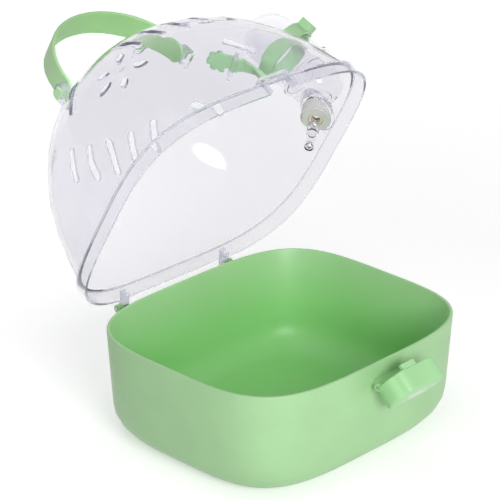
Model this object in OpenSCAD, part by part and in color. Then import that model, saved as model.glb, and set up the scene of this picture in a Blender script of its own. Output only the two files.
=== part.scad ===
/* [Tub] */
// Width of the tub at its rim, along the hinge
tub_w = 240; // [200:1:280]
// Depth of the tub at its rim, latch side to hinge side
tub_d = 206; // [180:1:230]
// Height of the tub
tub_h = 88.5; // [75:0.5:110]
// Wall thickness of the tub
tub_wall = 2.4; // [1.8:0.1:3.2]
// How far each wall leans in per millimetre of height
tub_draft = 0.052; // [0.02:0.002:0.08]
// Radius of the big bottom edge
tub_edge_r = 28.5; // [20:0.5:34]
// Squareness of the tub outline, 2 is an ellipse
tub_square = 3.8; // [3:0.1:5]
// Height of the raised panel moulded in the floor
floor_panel_h = 1.2; // [0.6:0.1:2]
// Distance from the floor panel to the tub walls
floor_panel_inset = 52; // [45:1:60]

/* [Lid] */
// Wall thickness of the clear dome
dome_wall = 2.2; // [1.6:0.1:3]
// Height of the dome above the tub rim
dome_h = 125; // [110:1:140]
// How far the skirt hangs down outside the tub
skirt_h = 10.5; // [8:0.5:13]
// Wall thickness of the skirt
skirt_wall = 2; // [1.6:0.1:2.6]
// Gap between the skirt and the tub wall across the hinge side
skirt_gap = 1; // [0.6:0.1:2]
// Extra room of the skirt at the two ends
skirt_end_room = 1; // [0:0.1:2]
// Step from the skirt in to the dome
skirt_step = 3; // [2.6:0.1:4]
// Squareness of the lid outline
lid_square = 3.7; // [3:0.1:4.5]
// Squareness of the dome near its top
dome_top_square = 2.15; // [2:0.05:3]
// Fullness of the dome's shoulder, higher is boxier
dome_full = 2.7; // [2.2:0.1:3.2]
// Flatness of the dome's top
dome_flat = 2.1; // [1.9:0.1:2.6]
// Angle at which the lid stands open
lid_open = 60; // [0:1:75]

/* [Vents] */
// Length of a vent slot
slot_l = 29; // [20:1:32]
// Width of a vent slot
slot_w = 6.5; // [4:0.5:8]
// Distance between the vent slots of the front and back rows
slot_pitch = 22; // [16:0.5:24]
// Height of the slots' middle, as a share of the dome's height
slot_level = 0.776; // [0.7:0.002:0.84]
// Height of the end slots' middle, as a share of the dome's height
end_slot_level = 0.76; // [0.7:0.01:0.84]
// Place of the end slot nearer the latch
end_slot_front = -28; // [-45:1:-20]
// Place of the end slot nearer the hinge
end_slot_back = 40; // [22:1:45]
// Length of a petal vent on the dome's top
petal_l = 15; // [10:0.5:17]
// Width of a petal vent
petal_w = 8; // [5:0.5:9]
// Distance of the petal vents from the middle
petal_r = 20; // [18:0.5:24]

/* [Hinge] */
// Distance of the hinge line behind the tub rim
hinge_out = 12; // [11:0.5:15]
// Distance of the hinge line below the tub rim
hinge_down = 9; // [8:0.5:12]
// Radius of the hinge knuckles
knuckle_r = 3.2; // [2.8:0.1:4]
// Width of one hinge knuckle
knuckle_w = 5; // [4:0.5:7]
// Distance from the middle to the outer end of the hinge
hinge_half = 62.5; // [50:0.5:68]
// Diameter of the hinge pins
hinge_pin_d = 2.4; // [2:0.1:3]

/* [Latch] */
// Place of the latch along the front wall
latch_x = 4; // [-10:1:10]
// Width of the latch bracket
bracket_w = 27.8; // [20:0.2:32]
// Height of the latch bracket
bracket_h = 8.5; // [7:0.5:10]
// Depth of the latch bracket in front of the wall
bracket_d = 10.5; // [9:0.5:12]
// Distance of the bracket's top below the tub rim
bracket_down = 12; // [11:0.5:14]
// Diameter of the latch pin
latch_pin_d = 2.6; // [2:0.1:3.2]
// How far the flap's middle lies beside the bracket's middle
flap_shift = 5.2; // [0:0.1:5.5]
// Width of the latch flap
flap_w = 49.5; // [46:0.5:56]
// Height of the latch flap
flap_h = 34; // [32:0.5:38]
// Thickness of the latch flap
flap_t = 18; // [15:0.5:19]
// Angle at which the latch flap stands open
flap_open = 42; // [0:1:50]
// Width of the catch frame on the lid's skirt
catch_w = 28.4; // [24:0.2:34]
// Height of the catch frame
catch_h = 14.5; // [12:0.5:16]

/* [Handle] */
// Distance between the two handle lugs
handle_span = 127; // [112:1:132]
// Height of the handle's arch above the dome
handle_rise = 51; // [40:1:60]
// Width of the handle strap
strap_w = 23; // [18:0.5:26]
// Width of the handle strap at its ends
strap_end_w = 19.5; // [15:0.5:21]
// Thickness of the handle strap
strap_t = 2.6; // [2:0.1:3.4]

/* [Bottle] */
// Place of the bottle along the end wall
bottle_y = -13; // [-20:1:10]
// Outer diameter of the bottle
bottle_d = 45; // [38:0.5:50]
// Length of the bottle's straight body
bottle_l = 49; // [38:1:56]
// Wall thickness of the bottle
bottle_wall = 1.4; // [1:0.1:2]
// Lean of the bottle towards the dome
bottle_lean = 8.6; // [4:0.2:14]
// Slope of the neck and cap from upright
neck_slope = 52; // [46:1:56]
// Diameter of the cap
cap_d = 24.6; // [22:0.2:28]
// Length of the cap
cap_l = 13; // [11:0.5:16]
// Diameter of the spout tube
spout_d = 7.6; // [6:0.2:9]
// Length of the spout tube outside the cap
spout_l = 34; // [24:1:38]
// Diameter of the ball in the spout's tip
ball_d = 5.6; // [4:0.1:6.5]

/* [Belt] */
// Width of the bottle belt
belt_w = 12; // [9:0.5:15]
// Thickness of the bottle belt
belt_t = 2.4; // [1.8:0.1:3]

/* [Hidden] */
$fn = 48;

// Clearance at which one piece seats on another
seat_gap = 0.3;
// Clearance beside a piece that turns
run_gap = 0.5;
// Radial clearance of a pin that turns in its bore
turn_fit = 0.08;
// Radial clearance of a pin held in its bore
hold_fit = 0.02;
// Overlap by which moulded details grow out of a wall
root = 1.2;
// The end slot nearer the hinge sits a little higher, by this share of the dome's height
end_slot_rise = 0.03;
// Each end slot's place along Y and its height share
end_slots = [[end_slot_front, end_slot_level], [end_slot_back, end_slot_level + end_slot_rise]];
// Points round a lofted outline
ring_n = 72;
// Radius of the rounded rim of the tub
rim_r = 0.8;

lid_a = tub_w / 2 + skirt_gap + skirt_end_room + skirt_wall;
lid_b = tub_d / 2 + skirt_gap + skirt_wall;
dome_a = lid_a - skirt_step;
dome_b = lid_b - skirt_step;
hinge_y = tub_d / 2 + hinge_out;
hinge_z = tub_h - hinge_down;
// Amount cut off the skirt above the hinge arms
hinge_cut = 2;

// Outline and lofts
function sign_of(v) = v < 0 ? -1 : 1;
function outline_pt(a, b, n, t) =
  [a * sign_of(cos(t)) * pow(abs(cos(t)), 2 / n), b * sign_of(sin(t)) * pow(abs(sin(t)), 2 / n)];
// Depth of an outline from the middle, at a place x along it
function depth_at(a, b, n, x) = b * pow(1 - pow(x / a, n), 1 / n);
function ring(a, b, n, z) =
  [for (i = [0:ring_n - 1]) let (p = outline_pt(a, b, n, 360 * (i + 0.5) / ring_n)) [p[0], p[1], z]];

// Solid through a list of rings with the same number of points; its ends are capped,
// or joined to each other where the rings run all the way round a section
module loft(rings, joined = false) {
  k = len(rings[0]);
  m = len(rings);
  sides = [for (i = [0:m - (joined ? 1 : 2)]) for (j = [0:k - 1])
    let (n = (j + 1) % k, next = ((i + 1) % m) * k)
    each [[i * k + j, next + j, next + n], [i * k + j, next + n, i * k + n]]];
  caps = joined ? [] : [[for (j = [0:k - 1]) j], [for (j = [k - 1:-1:0]) (m - 1) * k + j]];
  polyhedron([for (r = rings) each r], concat(sides, caps));
}

// Tub wall: each step is how far the outline lies inside the rim, and its height
wall_lean = tub_draft * (tub_h - tub_edge_r);
edge_steps = [90, 78, 64, 48, 32, 16, 0];
function tub_outer() = concat(
  [for (t = edge_steps) [wall_lean + tub_edge_r * (1 - cos(t)), tub_edge_r * (1 - sin(t))]],
  [[tub_draft * rim_r, tub_h - rim_r], [rim_r * 0.3, tub_h - rim_r * 0.3]]);
function tub_inner() = concat(
  [[rim_r, tub_h], [tub_wall - rim_r, tub_h], [tub_wall - rim_r * 0.3, tub_h - rim_r * 0.3],
   [tub_wall + tub_draft * rim_r, tub_h - rim_r]],
  [for (i = [len(edge_steps) - 1:-1:0]) let (t = edge_steps[i], r = tub_edge_r - tub_wall)
    [wall_lean + tub_edge_r - r * cos(t), tub_edge_r - r * sin(t)]],
  [[floor_panel_inset, tub_wall], [floor_panel_inset + floor_panel_h, tub_wall + floor_panel_h]]);

module tub_shell() {
  loft([for (p = concat(tub_outer(), tub_inner())) ring(tub_w / 2 - p[0], tub_d / 2 - p[0], tub_square, p[1])]);
}

// Dome: p runs from 0 at the skirt to 90 at the top
function dome_share(p) = pow(cos(p), 2 / dome_full);
function dome_level(p) = pow(sin(p), 2 / dome_flat);
function dome_square(v) = lid_square + (dome_top_square - lid_square) * pow(v, 0.6);
function dome_ring(p, wall) = let (v = dome_level(p))
  ring((dome_a - wall) * dome_share(p), (dome_b - wall) * dome_share(p), dome_square(v),
       tub_h + (dome_h - wall) * v);
dome_steps = [9, 18, 27, 36, 45, 53, 60, 66, 72, 77, 82, 86, 89.2];
inner_steps = [89, 84, 77, 69, 60, 50, 39, 27, 15];

module dome_shell() {
  rise = tub_h + seat_gap;
  loft(concat(
    [ring(lid_a, lid_b, lid_square, tub_h - skirt_h),
     ring(lid_a, lid_b, lid_square, tub_h - rim_r),
     ring(lid_a - rim_r * 0.4, lid_b - rim_r * 0.4, lid_square, tub_h + rim_r),
     ring(dome_a, dome_b, lid_square, tub_h + rim_r)],
    [for (p = dome_steps) dome_ring(p, 0)],
    [for (p = inner_steps) dome_ring(p, dome_wall)],
    [ring(dome_a - dome_wall, dome_b - dome_wall, lid_square, rise),
     ring(lid_a - skirt_wall, lid_b - skirt_wall, lid_square, rise),
     ring(lid_a - skirt_wall, lid_b - skirt_wall, lid_square, tub_h - skirt_h)]), joined = true);
}

// Closes the small ring left at the very top of the dome, with the dimple of the moulding gate
crown_r = 7.5;
gate_d = 5;
gate_deep = 0.6;
module dome_crown() {
  top = tub_h + dome_h - 0.08;
  difference() {
    translate([0, 0, top - dome_wall]) cylinder(r = crown_r, h = dome_wall);
    translate([0, 0, top - gate_deep]) cylinder(d = gate_d, h = 1);
  }
}

// Height share of the dome's outer surface above the rim at a place
function share_at(x, y, n) = pow(pow(abs(x) / dome_a, n) + pow(abs(y) / dome_b, n), 1 / n);
function level_at(x, y, v = 0.8, i = 8) = i == 0 ? v
  : level_at(x, y, pow(max(0, 1 - pow(share_at(x, y, dome_square(v)), dome_full)), 1 / dome_flat), i - 1);
function dome_z(x, y) = tub_h + dome_h * level_at(x, y);
// Place along one axis where the dome has a given height share
function place_at(v, a) = a * pow(1 - pow(v, dome_flat), 1 / dome_full);
// Slope of the dome at a place, down towards +Y or +X
function slope_y(x, y) = atan2(dome_z(x, y - 1) - dome_z(x, y + 1), 2);
function slope_x(x, y) = atan2(dome_z(x - 1, y) - dome_z(x + 1, y), 2);

module slot_outline(l, w) {
  square([l - w, w], center = true);
  for (s = [-1, 1]) translate([s * (l - w) / 2, 0]) circle(d = w);
}

// Cutter for a slot on the hinge side or the latch side
module row_slot(x) {
  y = place_at(slot_level, dome_b) * (1 - 0.1 * pow(x / (2 * slot_pitch), 2));
  translate([x, y, dome_z(x, y)]) rotate([-slope_y(0, y), 0, 0])
    linear_extrude(16, center = true) rotate(90) slot_outline(slot_l, slot_w);
}

// Cutter for a slot on an end of the dome
module end_slot(y, level) {
  x = place_at(level, dome_a);
  translate([x, y, dome_z(x, y)]) rotate([0, slope_x(x, y), 0])
    linear_extrude(16, center = true) slot_outline(slot_l, slot_w);
}

module petal_cut() {
  for (i = [0:5]) rotate(60 * i) translate([petal_r, 0, tub_h + dome_h - 8])
    linear_extrude(16) intersection() {
      translate([0, -petal_bow]) circle(r = petal_bow + petal_w / 2, $fn = 96);
      translate([0, petal_bow]) circle(r = petal_bow + petal_w / 2, $fn = 96);
    }
}
// Offset of the two arcs of a petal, so that they meet at its length
petal_bow = (pow(petal_l / 2, 2) - pow(petal_w / 2, 2)) / petal_w;

// Swings a piece of the lid from shut to its open place
module on_lid() {
  translate([0, hinge_y, hinge_z]) rotate([-lid_open, 0, 0]) translate([0, -hinge_y, -hinge_z]) children();
}

// Prism along X over a polygon given as depth and height points
module prism(x0, w, pts) {
  translate([x0, 0, 0]) rotate([90, 0, 90]) linear_extrude(w) polygon(pts);
}
module rod(x0, w, y, z, r) {
  translate([x0, y, z]) rotate([0, 90, 0]) cylinder(r = r, h = w);
}

arm_low = 14;
module hinge_arm() {
  x0 = hinge_half - knuckle_w;
  wall_y = depth_at(tub_w / 2, tub_d / 2, tub_square, hinge_half) - tub_draft * (hinge_down + arm_low)
    - tub_wall * 0.4;
  prism(x0, knuckle_w, [[wall_y, hinge_z - arm_low], [wall_y, hinge_z - 2.5],
    [hinge_y - 1.8, hinge_z - 2.5], [hinge_y, hinge_z], [hinge_y + knuckle_r * 0.7, hinge_z - knuckle_r * 0.7],
    [hinge_y - 2, hinge_z - knuckle_r - 2.4]]);
  rod(x0, knuckle_w, hinge_y, hinge_z, knuckle_r);
}

// Latch bracket
bracket_nose = 3;
latch_y = -tub_d / 2 - bracket_d + bracket_nose + 0.2;
latch_z = tub_h - bracket_down - bracket_nose;
module latch_bracket() {
  wall_y = -tub_d / 2 + tub_draft * bracket_down + root;
  prism(latch_x - bracket_w / 2, bracket_w, [[wall_y, latch_z + bracket_nose], [latch_y, latch_z + bracket_nose],
    [latch_y, latch_z - bracket_nose], [wall_y, latch_z + bracket_nose - bracket_h]]);
  rod(latch_x - bracket_w / 2, bracket_w, latch_y, latch_z, bracket_nose);
}

module tub() {
  color("mediumseagreen") difference() {
    union() {
      tub_shell();
      for (s = [0, 1]) mirror([s, 0, 0]) hinge_arm();
      latch_bracket();
    }
    for (s = [0, 1]) mirror([s, 0, 0])
      rod(hinge_half - knuckle_w - 1, knuckle_w + 2, hinge_y, hinge_z, hinge_pin_d / 2 + hold_fit);
    rod(latch_x - bracket_w / 2 - 1, bracket_w + 2, latch_y, latch_z, latch_pin_d / 2 + hold_fit);
  }
}

// Lid hinge lug, beside the tub's knuckle
module hinge_lug() {
  x0 = hinge_half - 2 * knuckle_w - run_gap;
  skirt_y = depth_at(lid_a, lid_b, lid_square, x0 + knuckle_w) - skirt_wall * 0.6;
  prism(x0, knuckle_w, [[skirt_y, tub_h - rim_r], [lid_b, tub_h - rim_r], [hinge_y + 1, hinge_z + knuckle_r * 0.95],
    [hinge_y - knuckle_r * 0.9, hinge_z - 1.4], [lid_b, hinge_z + 1.2], [skirt_y, hinge_z + 1.2]]);
  rod(x0, knuckle_w, hinge_y, hinge_z, knuckle_r);
}

// Frame on the skirt whose top bar the latch hooks over
catch_post = 3;
catch_out = 3;
catch_bar = 3.5;
module catch_frame() {
  back_y = -dome_b + root;
  front_y = -lid_b - catch_out;
  low = tub_h - skirt_h;
  for (s = [-1, 1]) translate([latch_x + s * (catch_w - catch_post) / 2 - catch_post / 2, front_y, low])
    cube([catch_post, catch_out + skirt_wall / 2, catch_h]);
  translate([latch_x - catch_w / 2, front_y, low + catch_h - catch_bar])
    cube([catch_w, back_y - front_y, catch_bar]);
}
module catch_window() {
  translate([latch_x - catch_w / 2 + catch_post, -lid_b - 1, tub_h - skirt_h - 1])
    cube([catch_w - 2 * catch_post, skirt_wall + 2, skirt_h - 0.5]);
}

// Loop standing on the dome, across X
module loop_outline(w, h, r) {
  translate([0, -root * 4]) {
    translate([-w / 2, 0]) square([w, h - r + root * 4]);
    translate([-w / 2 + r, 0]) square([w - 2 * r, h + root * 4]);
    for (s = [-1, 1]) translate([s * (w / 2 - r), h - r + root * 4]) circle(r);
  }
}
module loop(w, h, t, win_w, win_h, win_low) {
  rotate([90, 0, 90]) translate([0, 0, -t / 2]) linear_extrude(t) difference() {
    loop_outline(w, h, h / 2.5);
    translate([-win_w / 2, win_low]) square([win_w, win_h]);
  }
}

// Handle loops
handle_z = dome_z(handle_span / 2, 0);
loop_t = 6;
loop_w = 15;
loop_h = 12;
tongue_w = 6.4;
tongue_h = 4.2;
handle_win_low = 3.6;
module handle_loop() {
  translate([handle_span / 2, 0, handle_z])
    loop(loop_w, loop_h, loop_t, tongue_w + 2 * seat_gap, tongue_h + 2 * seat_gap, handle_win_low);
}

// Belt loop on the bottle's side of the dome: its place, its thickness and the material round its window
belt_loop_in = 28;
belt_loop_x = dome_a - belt_loop_in;
belt_loop_y = -2;
belt_loop_t = 3;
belt_loop_side = 3.5;
belt_loop_top = 4.6;
belt_loop_z = dome_z(belt_loop_x, belt_loop_y);
belt_loop_tilt = slope_x(belt_loop_x, belt_loop_y);
belt_lift = 4;
module belt_loop() {
  translate([belt_loop_x, belt_loop_y, belt_loop_z]) rotate([0, belt_loop_tilt, 0])
    loop(belt_w + 2 * belt_loop_side, belt_lift + belt_t + belt_loop_top, belt_loop_t,
         belt_w + 2 * seat_gap, belt_t + 2 * seat_gap, belt_lift);
}

// Axis of cap, neck and spout: runs through the dome's end wall, from the cap's end inside the dome
cap_in = 10.5;
cap_up = 11;
cap_end = [dome_a - cap_in, bottle_y, tub_h + cap_up];
module on_cap() {
  translate(cap_end) rotate([0, neck_slope, 0]) children();
}
port_d = cap_d + 2 * run_gap;
// Thickened rim round the port: its width round the hole, its depth through the wall and its inner face
port_rim = 2;
port_rim_w = 3.6;
port_in = 2.8;
port_x = dome_a - port_in;
module port_rim() {
  intersection() {
    on_cap() cylinder(d = port_d + 2 * port_rim, h = 2 * port_d);
    translate([port_x, bottle_y - port_d, tub_h + 2 * rim_r]) cube([port_rim_w, 2 * port_d, 2 * port_d]);
  }
}

module lid_dome() {
  color("lavender", 0.5) on_lid() difference() {
    union() {
      dome_shell();
      dome_crown();
      for (s = [0, 1]) mirror([s, 0, 0]) {
        hinge_lug();
        handle_loop();
      }
      catch_frame();
      belt_loop();
      port_rim();
    }
    for (s = [0, 1]) mirror([0, s, 0]) for (i = [-2:2]) row_slot(i * slot_pitch);
    for (s = [0, 1]) mirror([s, 0, 0]) for (e = end_slots) end_slot(e[0], e[1]);
    petal_cut();
    catch_window();
    translate([-hinge_half - run_gap, lid_b - skirt_wall - 1, tub_h - skirt_h - 1])
      cube([2 * (hinge_half + run_gap), skirt_wall + 2, hinge_cut + 1]);
    on_cap() translate([0, 0, -4]) cylinder(d = port_d, h = 40);
    for (s = [0, 1]) mirror([s, 0, 0])
      rod(hinge_half - 2 * knuckle_w - 2, knuckle_w + 2, hinge_y, hinge_z, hinge_pin_d / 2 + turn_fit);
  }
}

module hinge_pin() {
  rod(hinge_half - 2 * knuckle_w - run_gap - 0.6, 2 * knuckle_w + run_gap + 1.2, hinge_y, hinge_z, hinge_pin_d / 2);
}
module hinge_pin_left() { color("silver") mirror([1, 0, 0]) hinge_pin(); }
module hinge_pin_right() { color("silver") hinge_pin(); }

// Latch flap, drawn shut, then swung open: its lip hooks over the top bar of the catch frame
catch_top = tub_h - skirt_h + catch_h;
ear_w = 4;
ear_r = 2.8;
pocket_r = 6.8;
flap_back = 0.3;
flap_tail = 9.5;
// Lip that hooks over the catch frame's bar
hook_reach = 4;
hook_t = 2.6;
hook_w = 14;
pin_side = bracket_w / 2 + run_gap;
module on_latch() {
  translate([latch_x, latch_y, latch_z]) rotate([flap_open, 0, 0]) children();
}
// The flap's outline has soft lobes, like a small cloud
flap_n = 64;
flap_lobes = 6;
lobe_deep = 1;
flap_square = 3.6;
flap_edge_r = 3;
flap_back_r = 0.7;
function flap_ring(in, u) = [for (i = [0:flap_n - 1])
  let (t = 360 * (i + 0.5) / flap_n, m = in + lobe_deep * (1 - cos(flap_lobes * t)),
       p = outline_pt(flap_w / 2 - m, flap_h / 2 - m, flap_square, t))
  [p[0] + flap_shift, -u, p[1] + flap_h / 2 - flap_tail]];
flap_steps = concat([[flap_back_r, flap_back], [0, flap_back + flap_back_r]],
  [for (t = [0:18:90]) [flap_edge_r * (1 - cos(t)), flap_t - flap_edge_r * (1 - sin(t))]]);
module latch_flap() {
  color("limegreen") on_latch() difference() {
    union() {
      loft([for (p = flap_steps) flap_ring(p[0], p[1])]);
      for (s = [-1, 1]) rod(s > 0 ? pin_side : -pin_side - ear_w, ear_w, 0, 0, ear_r);
      translate([-hook_w / 2, -flap_back - 2, catch_top - latch_z + seat_gap])
        cube([hook_w, hook_reach + flap_back + 2, hook_t]);
    }
    rod(-pin_side, 2 * pin_side, 0, 0, pocket_r);
    rod(-pin_side - ear_w - 0.2, 2 * (pin_side + ear_w) + 0.4, 0, 0, latch_pin_d / 2 + turn_fit);
    inlay_cuts(0.05);
  }
}

module latch_pin() {
  color("silver") rod(latch_x - pin_side - ear_w, 2 * (pin_side + ear_w), latch_y, latch_z, latch_pin_d / 2);
}

// Bright inlay on the flap's face: two bars and an oval
inlay_t = 0.8;
inlay_l = 30;
inlay_w = 1.8;
inlay_apart = 4.6;
module inlay_shapes(grow) {
  for (s = [-1, 1]) translate([0, s * inlay_apart]) slot_outline(inlay_l + 2 * grow, inlay_w + 2 * grow);
  slot_outline(inlay_l * 0.6 + 2 * grow, inlay_w * 2.4 + 2 * grow);
}
module inlay_cuts(grow) {
  translate([flap_shift, -flap_t + inlay_t, flap_h / 2 - flap_tail]) rotate([90, 0, 0])
    linear_extrude(inlay_t + 1) inlay_shapes(grow);
}
module latch_trim() {
  color("gainsboro") on_latch() translate([flap_shift, -flap_t + inlay_t, flap_h / 2 - flap_tail]) rotate([90, 0, 0])
    linear_extrude(inlay_t) inlay_shapes(0);
}

// Flat band through a list of [place, width, thickness]; its width lies along side,
// or along a station's own direction where it gives one
function unit(v) = v / norm(v);
module ribbon(stations, side) {
  n = len(stations);
  loft([for (i = [0:n - 1]) let (
      p = stations[i][0],
      t = unit(stations[min(i + 1, n - 1)][0] - stations[max(i - 1, 0)][0]),
      d = len(stations[i]) > 3 ? stations[i][3] : side,
      w = unit(d - (d * t) * t),
      h = cross(t, w),
      hw = stations[i][1] / 2,
      ht = stations[i][2] / 2,
      c = min(ht * 0.6, hw * 0.6))
    [for (q = [[hw, ht - c], [hw - c, ht], [c - hw, ht], [-hw, ht - c],
               [-hw, c - ht], [c - hw, -ht], [hw - c, -ht], [hw, c - ht]])
      p + q[0] * w + q[1] * h]]);
}

// Handle: a springy strap arched over the dome, its ends beside the loops
strap_x = handle_span / 2 - loop_t / 2 - seat_gap - strap_t / 2;
strap_low = handle_z + 2.4;
strap_peak = tub_h + dome_h + handle_rise;
strap_skew = 5;
function strap_half(t) = t < 90 ? 0.96 : 1.12;
function strap_pt(t) = [-strap_x * cos(t) - strap_skew * pow(sin(t), 2), 0,
  strap_low + handle_foot + (strap_peak - strap_low - handle_foot) * pow(sin(t), strap_half(t))];
handle_foot = 6;
// Width of the strap, d degrees round the arch from its nearer end
function strap_width(d) = strap_end_w + (strap_w - strap_end_w) * pow(sin(min(90, d * 1.6)), 1.2);
module handle_strap() {
  foot = [[0, 0.34], [1.2, 0.6], [3, 0.82], [5.2, 0.96]];
  color("forestgreen") on_lid() {
    ribbon(concat(
      [for (f = foot) [[-strap_x, 0, strap_low + f[0]], strap_end_w * f[1], strap_t]],
      [for (t = [0:9:180]) [strap_pt(t), strap_width(min(t, 180 - t)), strap_t]],
      [for (i = [3:-1:0]) [[strap_x, 0, strap_low + foot[i][0]], strap_end_w * foot[i][1], strap_t]]),
      [0, 1, 0]);
    for (s = [0, 1]) mirror([s, 0, 0]) tongue();
  }
}
// Tongue of the strap, through the loop's window, with a head beyond
module tongue() {
  z = handle_z + handle_win_low + seat_gap + tongue_h / 2;
  reach = seat_gap + loop_t + seat_gap + strap_t / 2;
  translate([strap_x + reach / 2, 0, z]) cube([reach, tongue_w, tongue_h], center = true);
  translate([strap_x + reach + 1, 0, z]) cube([2, tongue_w + 2.4, tongue_h + 2], center = true);
}

// Bottle: a round-bottomed body leaning on the port, with a slanted neck
bottle_out = 22.8;
bottle_up = 46;
body_low = [dome_a + bottle_out, bottle_y, tub_h + bottle_up];
module on_body() {
  translate(body_low) rotate([0, -bottle_lean, 0]) children();
}
neck_d = 18.4;
neck_bore = 14;
cap_wall = 2.2;
seal_t = 2;
neck_start = cap_wall + seal_t;
neck_l = 36;
// Raised band round the body, and the collar on the neck beyond the cap
bead_up = 9;
bead_w = 2.6;
bead_out = 2;
collar_gap = 1;
collar_out = 2.2;
collar_t = 2;
module bottle_shell() {
  r = bottle_d / 2;
  color("white", 0.4) on_lid() difference() {
    union() {
      on_body() {
        cylinder(r = r, h = bottle_l);
        sphere(r = r);
        translate([0, 0, bottle_l]) sphere(r = r);
        translate([0, 0, bead_up]) cylinder(r = r + bead_out, h = bead_w);
      }
      on_cap() {
        translate([0, 0, neck_start]) cylinder(d = neck_d, h = neck_l - neck_start);
        translate([0, 0, cap_l + collar_gap]) cylinder(d = neck_d + 2 * collar_out, h = collar_t);
      }
    }
    on_body() {
      cylinder(r = r - bottle_wall, h = bottle_l);
      sphere(r = r - bottle_wall);
      translate([0, 0, bottle_l]) sphere(r = r - bottle_wall);
    }
    on_cap() translate([0, 0, neck_start - 1]) cylinder(d = neck_bore, h = neck_l);
  }
}

// Ribbed screw cap
cap_ribs = 30;
cap_rib_d = 1.2;
seal_hole_d = 11;
module bottle_cap() {
  color("gainsboro") on_lid() on_cap() difference() {
    union() {
      cylinder(d = cap_d - 3.2, h = 3);
      translate([0, 0, 2.4]) cylinder(d = cap_d, h = cap_l - 2.4);
    }
    translate([0, 0, -1]) cylinder(d = seal_hole_d + 2 * seat_gap, h = cap_l);
    translate([0, 0, cap_wall]) cylinder(d = neck_d + 2 * seat_gap, h = cap_l);
    for (i = [0:cap_ribs - 1]) rotate(360 * i / cap_ribs) translate([cap_d / 2 + cap_rib_d * 0.2, 0, 3.4])
      cylinder(d = cap_rib_d, h = cap_l, $fn = 16);
  }
}

module cap_seal() {
  color("tan") on_lid() on_cap() difference() {
    union() {
      translate([0, 0, 0.4]) cylinder(d = seal_hole_d, h = cap_wall);
      translate([0, 0, cap_wall]) cylinder(d = neck_d - 0.6, h = seal_t);
    }
    translate([0, 0, -1]) cylinder(d = spout_d + 0.2, h = cap_l);
  }
}

// Drinking spout: a tube with a lip that holds the ball
spout_wall = 0.9;
spout_lip = 0.8;
collar_h = 1.4;
ball_out = 1.2;
module spout_tube() {
  bore = spout_d - 2 * spout_wall;
  color("aliceblue", 0.6) on_lid() on_cap() difference() {
    union() {
      translate([0, 0, -spout_l]) cylinder(d = spout_d, h = spout_l + neck_start + collar_h);
      translate([0, 0, neck_start]) cylinder(d = neck_bore - 2, h = collar_h);
      translate([0, 0, -spout_l / 2]) cylinder(d = spout_d + 2.4, h = 3);
    }
    translate([0, 0, -spout_l + spout_lip]) cylinder(d = bore, h = spout_l + 10);
    translate([0, 0, -spout_l - 1]) cylinder(d = lip_d, h = 3);
  }
}
// Opening of the lip, narrower than the ball
lip_d = 2 * sqrt(pow(ball_d / 2, 2) - pow(ball_d / 2 - ball_out, 2)) + 0.1;
module spout_ball() {
  color("silver") on_lid() on_cap() translate([0, 0, ball_rest]) sphere(d = ball_d);
}
// Centre of the ball when it rests on the lip's edge
ball_seat = sqrt(pow(ball_d / 2 + 0.05, 2) - pow(lip_d / 2, 2));
ball_rest = -spout_l + spout_lip + ball_seat;
module spout_inner_ball() {
  color("silver") on_lid() on_cap() translate([0, 0, -6]) sphere(d = ball_d);
}

// Belt: a ring round the bottle with an arm to the loop on the dome
belt_up = 35;
// Pull tab on the ring: its place round the bottle from the latch side, its width and reach
belt_turn = 40;
belt_tab_w = 14;
belt_tab_out = 7;
// Head of the arm beyond the loop: a rosette with round lobes, a step and a square stud
head_r = 6.6;
head_lobes = 7;
lobe_out = 3.1;
head_n = 84;
head_h = belt_t + 1.2;
head_step_h = 0.8;
stud_w = 5.6;
stud_h = 1.4;
head_reach = 11.6;
head_aside = 3.5;
function rosette(r, out) = [for (i = [0:head_n - 1])
  let (t = 360 * (i + 0.5) / head_n) (r + out * pow(abs(cos(head_lobes * t / 2)), 0.7)) * [cos(t), sin(t)]];
module belt_head() {
  linear_extrude(head_h) polygon(rosette(head_r, lobe_out));
  linear_extrude(head_h + head_step_h) polygon(rosette(head_r * 0.7, lobe_out * 0.5));
  translate([-stud_w / 2, -stud_w / 2, 0]) cube([stud_w, stud_w, head_h + head_step_h + stud_h]);
}
// Place round the bottle at which the arm leaves the ring, from +X, and the boss it grows from
arm_turn = 142;
boss_w = 12.6;
boss_out = 4.4;
// The arm's reach past the loop, how much narrower it ends, and its small bows on the way
arm_past = 8;
arm_taper = 5;
arm_bow = 1.5;
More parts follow.
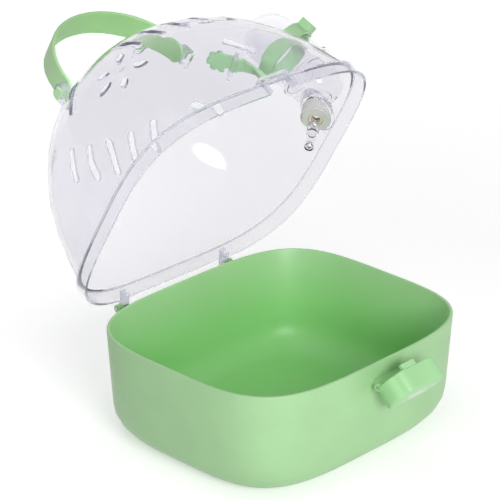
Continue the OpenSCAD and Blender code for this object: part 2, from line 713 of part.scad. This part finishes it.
// Point beside the ring: its distance from the bottle's axis and its height above the ring's middle
function beside_ring(r, h) = body_low + (belt_up + h) * [-sin(bottle_lean), 0, cos(bottle_lean)]
  + r * [cos(arm_turn) * cos(bottle_lean), sin(arm_turn), cos(arm_turn) * sin(bottle_lean)];
module ring_block(turn, w, out) {
  rotate(turn) translate([bottle_d / 2 + seat_gap + belt_t / 2, -w / 2, 0.5 - belt_w / 2])
    cube([out, w, belt_w - 1]);
}
module bottle_belt() {
  ring_r = bottle_d / 2 + seat_gap;
  arm_r = ring_r + belt_t + 0.3 + belt_t / 2;
  flat = [sin(arm_turn), -cos(arm_turn), 0];
  n = unit([sin(belt_loop_tilt), 0, cos(belt_loop_tilt)]);
  along = [-cos(belt_loop_tilt), 0, sin(belt_loop_tilt)];
  gate = [belt_loop_x, belt_loop_y, belt_loop_z] + (belt_lift + seat_gap + belt_t / 2) * n;
  leave = beside_ring(arm_r + 0.4, belt_w / 2 + 1);
  color("forestgreen") on_lid() {
    on_body() translate([0, 0, belt_up]) {
      rotate_extrude() translate([ring_r, -belt_w / 2]) square([belt_t, belt_w]);
      ring_block(belt_turn - 90, belt_tab_w, belt_tab_out);
      ring_block(arm_turn, boss_w, boss_out);
    }
    ribbon([
        [beside_ring(arm_r, 0), belt_w - 1, belt_t, flat],
        [leave, belt_w - 0.9, belt_t, flat],
        [leave + 0.4 * (gate - leave) + arm_bow * n, belt_w - 0.6, belt_t, flat + [0, 0.5, 0]],
        [leave + 0.7 * (gate - leave) + arm_bow * 0.7 * n, belt_w - 0.3, belt_t, flat + [0, 1.6, 0]],
        [gate - 1.5 * belt_loop_t * along, belt_w, belt_t],
        [gate - 0.8 * belt_loop_t * along, belt_w, belt_t],
        [gate + 1.2 * belt_loop_t * along, belt_w, belt_t],
        [gate + arm_past * along + [0, 1, 0], belt_w - arm_taper, belt_t]], [0, 1, 0]);
    translate(gate + head_reach * along + [0, head_aside, 0]) rotate([0, belt_loop_tilt, 0])
      translate([0, 0, -belt_t / 2 - 0.4]) belt_head();
  }
}

tub();
lid_dome();
hinge_pin_left();
hinge_pin_right();
latch_flap();
latch_pin();
latch_trim();
handle_strap();
bottle_shell();
bottle_cap();
cap_seal();
spout_tube();
spout_ball();
spout_inner_ball();
bottle_belt();
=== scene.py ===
import math

import bpy
from mathutils import Matrix, Vector

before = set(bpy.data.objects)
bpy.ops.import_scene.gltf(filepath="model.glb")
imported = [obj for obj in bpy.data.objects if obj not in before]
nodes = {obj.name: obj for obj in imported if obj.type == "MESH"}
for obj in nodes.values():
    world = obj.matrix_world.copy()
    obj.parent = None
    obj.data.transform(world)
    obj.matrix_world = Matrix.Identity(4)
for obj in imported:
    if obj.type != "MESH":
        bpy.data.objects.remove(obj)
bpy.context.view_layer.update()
scene = bpy.context.scene

# Lengths and places are in metres

# Camera at the photograph's viewing angle
CAMERA_AZIMUTH = math.radians(-45.8673)
CAMERA_ELEVATION = math.radians(23.8335)
CAMERA_DISTANCE = 1.86798
CAMERA_TARGET = Vector((0.00618, 0.03859, 0.13087))
CAMERA_LENS_MM = 176.63
CAMERA_SENSOR_MM = 36
CAMERA_NEAR = 0.05
CAMERA_FAR = 50


def point_along(thing, way):
    thing.rotation_mode = "QUATERNION"
    thing.rotation_quaternion = way.to_track_quat("-Z", "Y")


camera_back = Vector((
    math.sin(CAMERA_AZIMUTH) * math.cos(CAMERA_ELEVATION),
    -math.cos(CAMERA_AZIMUTH) * math.cos(CAMERA_ELEVATION),
    math.sin(CAMERA_ELEVATION),
))
camera = bpy.data.objects.new("camera", bpy.data.cameras.new("camera"))
scene.collection.objects.link(camera)
camera.data.sensor_width = CAMERA_SENSOR_MM
camera.data.lens = CAMERA_LENS_MM
camera.data.clip_start = CAMERA_NEAR
camera.data.clip_end = CAMERA_FAR
camera.location = CAMERA_TARGET + camera_back * CAMERA_DISTANCE
point_along(camera, -camera_back)
scene.camera = camera
scene.view_settings.view_transform = "Standard"


# Colours are written as they read on screen, 0 to 255, and turned into linear light by the sRGB curve
def linear(*rgb):
    shares = [c / 255 for c in rgb]
    return [s / 12.92 if s <= 0.04045 else ((s + 0.055) / 1.055) ** 2.4 for s in shares] + [1.0]


def scaled(colour, factor):
    return [min(1.0, c * factor) for c in colour[:3]] + [1.0]


def grey(level):
    return [level, level, level, 1.0]


WHITE = grey(1.0)

# Noise keeps mostly to this range, so it is stretched from here to the range that is wanted
NOISE_LOW = 0.3
NOISE_HIGH = 0.7


# Short ways to add and join shader nodes
class Nodes:
    def __init__(self, tree):
        self.tree = tree
        tree.nodes.clear()

    def feed(self, socket, value):
        if isinstance(value, bpy.types.NodeSocket):
            self.tree.links.new(value, socket)
        else:
            socket.default_value = value

    def add(self, kind, **values):
        node = self.tree.nodes.new(kind)
        for name, value in values.items():
            self.feed(node.inputs[name.replace("_", " ")], value)
        return node

    def math(self, operation, first, second):
        node = self.add("ShaderNodeMath")
        node.operation = operation
        self.feed(node.inputs[0], first)
        self.feed(node.inputs[1], second)
        return node.outputs["Value"]

    def mapped(self, value, low, high, start=NOISE_LOW, end=NOISE_HIGH):
        node = self.add("ShaderNodeMapRange", Value=value,
                        From_Min=start, From_Max=end, To_Min=low, To_Max=high)
        return node.outputs["Result"]

    def mixed(self, share, first, second):
        node = self.add("ShaderNodeMix")
        node.data_type = "RGBA"
        inputs = {socket.identifier: socket for socket in node.inputs}
        self.feed(inputs["Factor_Float"], share)
        self.feed(inputs["A_Color"], first)
        self.feed(inputs["B_Color"], second)
        return next(socket for socket in node.outputs if socket.identifier == "Result_Color")

    # 1 for rays from the camera, from gloss and through glass, and 0 for the rays that light a matt surface
    def seen_directly(self):
        rays = self.add("ShaderNodeLightPath").outputs
        mirrored = self.math("MAXIMUM", rays["Is Camera Ray"], rays["Is Glossy Ray"])
        return self.math("MAXIMUM", mirrored, rays["Is Transmission Ray"])


# A material with one Principled shader, painted in object space
class Paint(Nodes):
    def __init__(self, name):
        self.material = bpy.data.materials.new(name)
        self.material.use_nodes = True
        super().__init__(self.material.node_tree)
        self.shader = self.add("ShaderNodeBsdfPrincipled")
        self.add("ShaderNodeOutputMaterial", Surface=self.shader.outputs["BSDF"])
        self.place = self.add("ShaderNodeTexCoord").outputs["Object"]

    def set(self, name, value):
        self.feed(self.shader.inputs[name], value)

    def colour_so_far(self):
        return self.shader.inputs["Base Color"].links[0].from_socket

    def split(self, vector):
        return self.add("ShaderNodeSeparateXYZ", Vector=vector).outputs

    def noise(self, scale, detail=2.0):
        return self.add("ShaderNodeTexNoise", Vector=self.place, Scale=scale, Detail=detail).outputs["Fac"]

    def bumped(self, height, strength, distance):
        return self.add("ShaderNodeBump", Height=height, Strength=strength, Distance=distance)


# Moulded plastic: cloudy colour, uneven gloss, slow waves and a fine grain
PLASTIC_IOR = 1.49
CLOUD_SCALE = 28.0
CLOUD_SHARE = 0.035
GLOSS_SCALE = 90.0
GLOSS_SPREAD = 0.05
WAVE_SCALE = 45.0
WAVE_STRENGTH = 0.25
WAVE_DEPTH = 0.0002
GRAIN_SIZE = 0.0006
GRAIN_STRENGTH = 0.05
GRAIN_DEPTH = 0.0001


def moulded(name, colour, rough=0.38):
    paint = Paint(name)
    clouds = paint.mapped(paint.noise(CLOUD_SCALE, detail=3.0), 0.0, 1.0)
    darkest = scaled(colour, 1 - CLOUD_SHARE)
    lightest = scaled(colour, 1 + CLOUD_SHARE)
    paint.set("Base Color", paint.mixed(clouds, darkest, lightest))
    gloss = paint.noise(GLOSS_SCALE, detail=4.0)
    paint.set("Roughness", paint.mapped(gloss, rough - GLOSS_SPREAD, rough + GLOSS_SPREAD))
    waves = paint.bumped(paint.noise(WAVE_SCALE), WAVE_STRENGTH, WAVE_DEPTH)
    grain = paint.bumped(paint.noise(1 / GRAIN_SIZE), GRAIN_STRENGTH, GRAIN_DEPTH)
    paint.feed(grain.inputs["Normal"], waves.outputs["Normal"])
    paint.set("Normal", grain.outputs["Normal"])
    paint.set("IOR", PLASTIC_IOR)
    return paint


# Clear plastic: a faintly clouded tint and a little haze. The dome and spout bend light less than real
# plastic does, because the real value gives dark spots at the slots that the photograph doesn't show.
THIN_WALL_IOR = 1.2
BOTTLE_IOR = 1.33
TINT_SCALE = 18.0
TINT_SHADE = 0.985
HAZE_SCALE = 60.0
HAZE = 0.02


def clear(name, colour, rough=0.01, ior=THIN_WALL_IOR):
    paint = Paint(name)
    clouds = paint.mapped(paint.noise(TINT_SCALE), 0.0, 1.0)
    paint.set("Base Color", paint.mixed(clouds, colour, scaled(colour, TINT_SHADE)))
    paint.set("Roughness", paint.mapped(paint.noise(HAZE_SCALE, detail=3.0), rough, rough + HAZE))
    paint.set("IOR", ior)
    paint.set("Transmission Weight", 1.0)
    return paint


# Steel: finely uneven shade, gloss and surface
STEEL_SHADE_SCALE = 400.0
STEEL_DARKEST = 0.93
STEEL_LIGHTEST = 1.04
STEEL_GLOSS_SCALE = 900.0
STEEL_SMOOTHER = 0.05
STEEL_ROUGHER = 0.1
STEEL_PIT_SCALE = 2500.0
STEEL_PIT_STRENGTH = 0.06
STEEL_PIT_DEPTH = 0.00005


def steel(name, colour, rough=0.2):
    paint = Paint(name)
    shades = paint.mapped(paint.noise(STEEL_SHADE_SCALE), 0.0, 1.0)
    darkest = scaled(colour, STEEL_DARKEST)
    lightest = scaled(colour, STEEL_LIGHTEST)
    paint.set("Base Color", paint.mixed(shades, darkest, lightest))
    gloss = paint.noise(STEEL_GLOSS_SCALE, detail=3.0)
    paint.set("Roughness", paint.mapped(gloss, rough - STEEL_SMOOTHER, rough + STEEL_ROUGHER))
    pits = paint.bumped(paint.noise(STEEL_PIT_SCALE), STEEL_PIT_STRENGTH, STEEL_PIT_DEPTH)
    paint.set("Normal", pits.outputs["Normal"])
    paint.set("Metallic", 1.0)
    return paint


TUB_GREEN = linear(168, 211, 157)
TUB_INSIDE_SHADE_GREEN = linear(138, 203, 124)
STRAP_GREEN = linear(154, 202, 138)
STRAP_PAINTED_LIGHT_GREEN = linear(192, 236, 180)
LATCH_GREEN = linear(166, 218, 158)
BELT_GREEN = linear(162, 206, 156)
CAP_WHITE = linear(204, 203, 200)
SEAL_CREAM = linear(214, 200, 176)
DOME_TINT = linear(240, 239, 243)
BOTTLE_TINT = linear(249, 249, 251)
EDGE_SHADE_TINT = linear(206, 207, 224)
PIN_GREY = linear(190, 190, 188)
BALL_GREY = linear(205, 205, 205)
TRIM_GREY = linear(226, 229, 230)

# Painted shade and bounced light: what faces inward is painted a deeper green, standing in for the shade
# inside the tub and the green light that glows through and bounces off its walls. That painted green is
# full on the floor and on the lower walls, and weak at the rim.
TUB_TOP = 0.0885
INWARD_FULL = -0.02
UPWARD_START = 0.1
UPWARD_FULL = 0.4
RIM_START = 0.075
RIM_FULL = 0.086
SHADE_FULL_UP_TO = 0.04
SHADE_AT_TOP = 0.25


def tub_paint():
    paint = moulded("tub_plastic", TUB_GREEN)
    place = paint.split(paint.place)
    facing = paint.split(paint.add("ShaderNodeTexCoord").outputs["Normal"])
    outward = paint.math("ADD", paint.math("MULTIPLY", place["X"], facing["X"]),
                         paint.math("MULTIPLY", place["Y"], facing["Y"]))
    turned_in = paint.mapped(outward, 1.0, 0.0, INWARD_FULL, 0.0)
    faces_up = paint.mapped(facing["Z"], 0.0, 1.0, UPWARD_START, UPWARD_FULL)
    below_rim = paint.mapped(place["Z"], 1.0, 0.0, RIM_START, RIM_FULL)
    inside = paint.math("MAXIMUM", turned_in, paint.math("MULTIPLY", faces_up, below_rim))
    # Painted shade: the deeper green grows stronger towards the floor
    shade_by_height = paint.mapped(place["Z"], 1.0, SHADE_AT_TOP, SHADE_FULL_UP_TO, TUB_TOP)
    painted_shade = paint.math("MULTIPLY", inside, shade_by_height)
    paint.set("Base Color", paint.mixed(painted_shade, paint.colour_so_far(), TUB_INSIDE_SHADE_GREEN))
    return paint


# Painted light: the end of the strap towards the lamp is painted paler, standing in for light glowing
# through it
STRAP_LIT_UP_TO_X = -0.065
STRAP_LIT_FADE = 0.035


def strap_paint():
    paint = moulded("strap_plastic", STRAP_GREEN, rough=0.45)
    along = paint.split(paint.place)["X"]
    # Painted light: a paler green fades in towards the lamp end
    painted_light = paint.mapped(along, 1.0, 0.0, STRAP_LIT_UP_TO_X, STRAP_LIT_UP_TO_X + STRAP_LIT_FADE)
    paint.set("Base Color", paint.mixed(painted_light, paint.colour_so_far(), STRAP_PAINTED_LIGHT_GREEN))
    return paint


pin_steel = steel("pin_steel", PIN_GREY)
ball_steel = steel("ball_steel", BALL_GREY, rough=0.12)
FINISH = {
    "tub": tub_paint(),
    "lid_dome": clear("dome_plastic", DOME_TINT),
    "hinge_pin_left": pin_steel,
    "hinge_pin_right": pin_steel,
    "latch_flap": moulded("latch_plastic", LATCH_GREEN, rough=0.36),
    "latch_pin": pin_steel,
    "latch_trim": steel("trim_silver", TRIM_GREY, rough=0.3),
    "handle_strap": strap_paint(),
    "bottle_shell": clear("bottle_plastic", BOTTLE_TINT, ior=BOTTLE_IOR),
    "bottle_cap": moulded("cap_plastic", CAP_WHITE, rough=0.35),
    "cap_seal": moulded("seal_rubber", SEAL_CREAM, rough=0.55),
    "spout_tube": clear("spout_plastic", BOTTLE_TINT),
    "spout_ball": ball_steel,
    "spout_inner_ball": ball_steel,
    "bottle_belt": moulded("belt_plastic", BELT_GREEN, rough=0.4),
}
CLEAR_PIECES = ("lid_dome", "bottle_shell", "spout_tube")

# Every piece is shaded smooth, with sharp edges where its faces meet at more than SMOOTH_ANGLE
SMOOTH_ANGLE = math.radians(32)
WELD_DISTANCE = 2e-6
for name, paint in FINISH.items():
    piece = nodes[name]
    piece.data.materials.clear()
    piece.data.materials.append(paint.material)
    piece.data.polygons.foreach_set("use_smooth", [True] * len(piece.data.polygons))
    weld = piece.modifiers.new("weld", "WELD")
    weld.merge_threshold = WELD_DISTANCE
    split = piece.modifiers.new("split", "EDGE_SPLIT")
    split.split_angle = SMOOTH_ANGLE

# A clear piece would be rendered with a shadow as dark as a solid one's, so it throws none
for name in CLEAR_PIECES:
    nodes[name].visible_shadow = False

# The cut faces of the dome's slots, petals, loops and rims are faintly frosted and painted a darker
# blue-grey, a painted shade for the dark outlines that the clear walls' bending of light draws along them.
# They are the faces that stand across the wall, which is told with the lid swung shut, as the dome then
# sits square on the tub.
LID_OPEN = math.radians(60)
HINGE_PLACE = Vector((0, 0.115, 0.0795))
DOME_HALF_X = 0.121
DOME_HALF_Y = 0.103
DOME_RISE = 0.125
ACROSS_BELOW = 0.5
EDGE_ROUGH = 0.12
EDGE_TRANSMISSION = 0.35
EDGE_CLOUD_SCALE = 70.0
EDGE_ALPHA_LOW = 0.5
EDGE_ALPHA_HIGH = 0.62

# Painted shade: the cut faces take a darker blue-grey tint than the rest of the dome
dome_edge = clear("dome_edge", EDGE_SHADE_TINT, rough=EDGE_ROUGH)
dome_edge.set("Transmission Weight", EDGE_TRANSMISSION)
dome_edge.set("Alpha", dome_edge.mapped(dome_edge.noise(EDGE_CLOUD_SCALE), EDGE_ALPHA_LOW, EDGE_ALPHA_HIGH))
dome_mesh = nodes["lid_dome"].data
edge_slot = len(dome_mesh.materials)
dome_mesh.materials.append(dome_edge.material)
swing_shut = Matrix.Rotation(LID_OPEN, 3, "X")
for polygon in dome_mesh.polygons:
    place = swing_shut @ (Vector(polygon.center) - HINGE_PLACE) + HINGE_PLACE
    normal = swing_shut @ Vector(polygon.normal)
    rise = max(0.0, place.z - TUB_TOP)
    outward = Vector((place.x / DOME_HALF_X ** 2, place.y / DOME_HALF_Y ** 2, rise / DOME_RISE ** 2))
    if abs(normal.dot(outward.normalized())) < ACROSS_BELOW:
        polygon.material_index = edge_slot

# The floor glows only where it is seen, and more with its distance from the part. So it reads as white all
# over and keeps the part's shadow, and its glow lights nothing matt.
FLOOR_HALF = 3.0
FLOOR_Z = -0.0004
FLOOR_DARKEST = 0.86
FLOOR_LIGHTEST = 0.88
FLOOR_CLOUD_SCALE = 3.0
FLOOR_ROUGH = 0.9
GLOW_NEAR = 0.43
GLOW_FAR = 0.8
GLOW_NEAR_REACH = 0.4
GLOW_FAR_REACH = 1.6

floor_mesh = bpy.data.meshes.new("floor")
floor_signs = ((-1, -1), (1, -1), (1, 1), (-1, 1))
floor_corners = [(x * FLOOR_HALF, y * FLOOR_HALF, FLOOR_Z) for x, y in floor_signs]
floor_mesh.from_pydata(floor_corners, [], [(0, 1, 2, 3)])
floor = bpy.data.objects.new("floor", floor_mesh)
scene.collection.objects.link(floor)
floor_paint = Paint("floor_paint")
floor_paint.set("Base Color", floor_paint.mixed(floor_paint.noise(FLOOR_CLOUD_SCALE),
                                                grey(FLOOR_DARKEST), grey(FLOOR_LIGHTEST)))
floor_paint.set("Roughness", FLOOR_ROUGH)
floor_paint.set("Specular IOR Level", 0.0)
floor_paint.set("Emission Color", WHITE)
reach = floor_paint.add("ShaderNodeVectorMath", Vector=floor_paint.place)
reach.operation = "LENGTH"
glow = floor_paint.mapped(reach.outputs["Value"], GLOW_NEAR, GLOW_FAR, GLOW_NEAR_REACH, GLOW_FAR_REACH)
floor_paint.set("Emission Strength", floor_paint.math("MULTIPLY", floor_paint.seen_directly(), glow))
floor_mesh.materials.append(floor_paint.material)

# The world is white where it is seen, and lights the part at the level AMBIENT
AMBIENT = 0.36
world = bpy.data.worlds.new("studio")
scene.world = world
world.use_nodes = True
sky = Nodes(world.node_tree)
sky_level = sky.mapped(sky.seen_directly(), AMBIENT, 1.0, 0.0, 1.0)
background = sky.add("ShaderNodeBackground", Color=WHITE, Strength=sky_level)
sky.add("ShaderNodeOutputWorld", Surface=background.outputs["Background"])

LAMP_AIM = Vector((0, 0, 0.1))


def soft_lamp(name, place, width, height, watts):
    light = bpy.data.lights.new(name, "AREA")
    light.shape = "ELLIPSE"
    light.size = width
    light.size_y = height
    light.energy = watts
    lamp = bpy.data.objects.new(name, light)
    scene.collection.objects.link(lamp)
    lamp.location = place
    point_along(lamp, LAMP_AIM - Vector(place))


soft_lamp("front_lamp", (-0.85, -1.65, 0.85), width=0.9, height=0.7, watts=24)
soft_lamp("top_lamp", (-0.3, 0.1, 2.1), width=1.4, height=1.4, watts=5)
